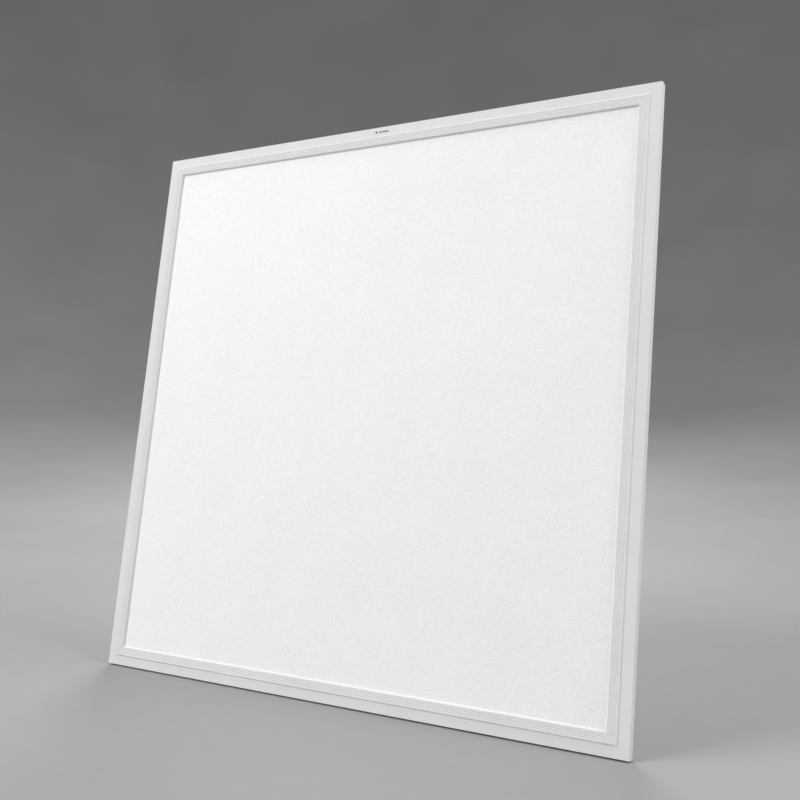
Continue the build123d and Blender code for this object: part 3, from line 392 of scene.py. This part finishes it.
def ink(name, light):
    """Pad-printed ink: uneven cover and a slightly broken surface."""
    finish = Finish(name, {"IOR": 1.5, "Specular IOR Level": 0.4})
    tone = finish.two_tone(finish.noise(0.5 * MM, 3.0), grey(light * 0.85), grey(light * 1.2))
    finish.colour(tone)
    finish.roughness(finish.noise(0.4 * MM), 0.42, 0.6)
    finish.relief(finish.noise(0.2 * MM, 2.0), 0.004 * MM, 0.5)
    return finish.material


FINISHES = {
    "frame_white": powder_coat("frame_powder_coat"),
    "cover_white": coil_coated_steel("cover_coil_coat"),
    "opal_diffuser": opal_plate("opal_acrylic"),
    "clear_acrylic": acrylic_guide("etched_acrylic"),
    "white_film": film("reflector_film", 0.88),
    "white_foam": foam("backing_foam", 0.78, 0.9 * MM),
    "grey_foam": foam("seal_foam", 0.10, 0.4 * MM),
    "silicone": rubber("silicone_rubber", 0.55, 0.01 * MM),
    "zinc_steel": zinc_plate("zinc_plate"),
    "rivet_aluminium": rivet_metal("rivet_metal"),
    "board_white": circuit_board("led_board_mask", grey(0.74), grey(0.80), 0.30, 0.42),
    "led_housing": moulded_plastic("led_housing_plastic", 0.86, 0.1 * MM, 0.40, 0.55),
    "led_phosphor": phosphor("phosphor_silicone"),
    "thermal_tape": gap_tape("gap_tape"),
    "solder": soft_metal("solder_metal", grey(0.55), grey(0.68, 0.01), 0.22, 0.38),
    "wire_red": insulation("red_insulation", (0.42, 0.018, 0.014), (0.56, 0.030, 0.022)),
    "wire_black": insulation("black_insulation", grey(0.014), grey(0.028)),
    "box_white": moulded_plastic("box_plastic", 0.74, 0.35 * MM, 0.42, 0.56, 0.004),
    "black_rubber": rubber("black_rubber", 0.022),
    "circuit_green": circuit_board(
        "junction_board_mask", (0.012, 0.10, 0.035), (0.030, 0.19, 0.070), 0.26, 0.40
    ),
    "terminal_grey": moulded_plastic("terminal_plastic", 0.22, 0.2 * MM, 0.40, 0.52),
    "brass": soft_metal("plated_brass", (0.52, 0.40, 0.20), (0.70, 0.56, 0.30), 0.24, 0.40),
    "label": label_stock("label_paper"),
}

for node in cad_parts.values():
    for slot in node.material_slots:
        slot.material = FINISHES[slot.material.name]


# ------------------------------------------------------------------ printed marks
def pill(x, z, length, height, steps=10):
    """A bar with round ends, as (x, z) points round its outline."""
    radius = height / 2
    points = []
    for side in (1, -1):
        for step in range(steps + 1):
            angle = math.pi * (step / steps - 0.5)
            across = length / 2 - radius + radius * math.cos(angle)
            points.append((x + side * across, z + side * radius * math.sin(angle)))
    return points


def diamond(x, z, reach):
    return [(x + reach, z), (x, z + reach), (x - reach, z), (x, z - reach)]


def bar(x0, z0, x1, z1):
    return [(x0, z0), (x1, z0), (x1, z1), (x0, z1)]


def printed(name, outlines, surface_y, facing, material):
    """A film of ink on a flat surface, facing -Y or +Y, made of separate outlines."""
    film_mesh = bmesh.new()
    for outline in outlines:
        base = [film_mesh.verts.new((x, surface_y, z)) for x, z in outline]
        face = film_mesh.faces.new(base)
        raised = bmesh.ops.extrude_face_region(film_mesh, geom=[face])["geom"]
        moved = [part for part in raised if isinstance(part, bmesh.types.BMVert)]
        bmesh.ops.translate(film_mesh, verts=moved, vec=(0, facing * INK_DEPTH, 0))
    bmesh.ops.recalc_face_normals(film_mesh, faces=film_mesh.faces)
    mesh = bpy.data.meshes.new(name)
    film_mesh.to_mesh(mesh)
    film_mesh.free()
    mesh.materials.append(material)
    piece = bpy.data.objects.new(name, mesh)
    bpy.context.scene.collection.objects.link(piece)
    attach(piece, "root")
    return piece


def front_mark():
    """A plain bar and diamond in grey, small, in the middle of the top rail's flat seat."""
    top_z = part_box("frame_top")[1].z
    seat_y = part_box("frame_top")[0].y + SEAT_SETBACK
    middle_z = top_z - MARK_BELOW_EDGE
    outlines = [
        diamond(MARK_DIAMOND_X, middle_z, MARK_DIAMOND_REACH),
        pill(MARK_BAR_X, middle_z, MARK_BAR_LENGTH, MARK_BAR_HEIGHT),
    ]
    piece = printed("front_mark", outlines, seat_y, -1, ink("mark_ink", 0.11))


def label_print():
    """A ruled border, a solid heading and rows of plain bars on the rating label."""
    low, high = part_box("rating_label")
    left = low.x + LABEL_MARGIN
    right = high.x - LABEL_MARGIN
    bottom = low.z + LABEL_MARGIN
    top = high.z - LABEL_MARGIN
    heading = top - LABEL_HEADING
    column = left + LABEL_FIRST_COLUMN
    row_height = (heading - bottom) / LABEL_ROWS
    rows_bottom = bottom + LABEL_LINE
    outlines = [
        bar(left, bottom, right, rows_bottom),
        bar(left, rows_bottom, left + LABEL_LINE, heading),
        bar(right - LABEL_LINE, rows_bottom, right, heading),
        bar(left, heading, right, top),
        bar(column, rows_bottom, column + LABEL_LINE, heading),
    ]
    for row in range(LABEL_ROWS):
        middle = bottom + (row + 0.5) * row_height
        entry = ENTRY_LENGTHS[row % len(ENTRY_LENGTHS)]
        outlines.append(pill(left + ENTRY_CENTRE, middle, entry, LABEL_BAR_HEIGHT))
        for index, length in enumerate(FIGURE_LENGTHS):
            start = column + FIGURE_START + FIGURE_PITCH * index
            left_blank = (row + index) % 3 == 2
            if not left_blank:
                outlines.append(pill(start + length / 2, middle, length, LABEL_BAR_HEIGHT))
    piece = printed("label_print", outlines, high.y, 1, ink("label_ink", 0.09))


front_mark()
label_print()


# ------------------------------------------------------------------ floor and light
def floor_finish():
    """Pale matte floor paint, slightly cloudy."""
    finish = Finish("floor_paint")
    tone = finish.two_tone(finish.noise(600 * MM, 3.0), grey(0.27), grey(0.30))
    finish.colour(finish.tinted(tone, finish.noise(20 * MM, 3.0), 0.985, 1.01))
    finish.roughness(finish.noise(150 * MM), 0.7, 0.85)
    finish.relief(finish.noise(4 * MM, 2.0), 0.05 * MM, 0.3)
    return finish.material


def cove_floor():
    """A flat disc whose rim curves up into a round wall. It is level to the viewer.

    The panel leans back on it, on the rear arris of its bottom edge, which is the X axis.
    """
    profile = [(0.0, 0.0), (FLOOR_RADIUS, 0.0)]
    for step in range(1, COVE_STEPS + 1):
        angle = math.pi / 2 * step / COVE_STEPS
        out = FLOOR_RADIUS + COVE_RADIUS * math.sin(angle)
        profile.append((out, COVE_RADIUS * (1 - math.cos(angle))))
    profile.append((FLOOR_RADIUS + COVE_RADIUS, WALL_TOP))

    shell = bmesh.new()
    points = [shell.verts.new((radius, 0.0, height)) for radius, height in profile]
    edges = [shell.edges.new(pair) for pair in zip(points, points[1:])]
    bmesh.ops.spin(
        shell,
        geom=points + edges,
        axis=(0, 0, 1),
        cent=(0, 0, 0),
        angle=2 * math.pi,
        steps=FLOOR_SECTORS,
        use_merge=True,
    )
    bmesh.ops.remove_doubles(shell, verts=shell.verts, dist=SEAM_REACH)
    bmesh.ops.recalc_face_normals(shell, faces=shell.faces)
    for face in shell.faces:
        face.smooth = True
    mesh = bpy.data.meshes.new("cove_floor")
    shell.to_mesh(mesh)
    shell.free()
    mesh.materials.append(floor_finish())
    floor = bpy.data.objects.new("cove_floor", mesh)
    floor.matrix_world = Matrix.Rotation(LEAN, 4, "X")
    bpy.context.scene.collection.objects.link(floor)


def softbox(name, direction, distance, width, power, target):
    """A square soft light, aimed at the middle of the panel and unseen by the camera."""
    light = bpy.data.lights.new(name, "AREA")
    light.shape = "SQUARE"
    light.size = width
    light.energy = power
    lamp = bpy.data.objects.new(name, light)
    away = Vector(direction).normalized()
    lamp.location = target + away * distance
    lamp.rotation_mode = "QUATERNION"
    lamp.rotation_quaternion = away.to_track_quat("Z", "Y")
    lamp.visible_camera = False
    bpy.context.scene.collection.objects.link(lamp)


def ambient_light():
    """Even white light from all round."""
    world = bpy.data.worlds.new("soft_room")
    world.use_nodes = True
    background = world.node_tree.nodes["Background"]
    background.inputs["Color"].default_value = (1, 1, 1, 1)
    background.inputs["Strength"].default_value = AMBIENT
    bpy.context.scene.world = world


def viewpoint():
    """The camera, turned and tipped as the viewer sees the panel."""
    up = Vector((0, -math.sin(LEAN), math.cos(LEAN)))
    level_back = Vector((0, math.cos(LEAN), math.sin(LEAN)))
    across = Vector((1, 0, 0))
    forward = level_back * math.cos(TURN) - across * math.sin(TURN)
    right = across * math.cos(TURN) + level_back * math.sin(TURN)
    place = right * VIEWER_RIGHT - forward * VIEWER_BACK + up * VIEWER_UP
    turned = Matrix((right, up, -forward)).transposed()

    camera = bpy.data.objects.new("camera", bpy.data.cameras.new("camera"))
    camera.data.sensor_width = SENSOR_WIDTH
    camera.data.angle = VIEW_ANGLE
    camera.data.clip_start = NEAREST_SEEN
    camera.matrix_world = Matrix.Translation(place) @ turned.to_4x4()
    bpy.context.scene.collection.objects.link(camera)
    bpy.context.scene.camera = camera


panel_middle = (cad_bounds[0] + cad_bounds[1]) / 2
cove_floor()
ambient_light()
for softbox_values in SOFTBOXES:
    softbox(*softbox_values, panel_middle)
viewpoint()
bpy.context.scene.view_settings.view_transform = "Standard"
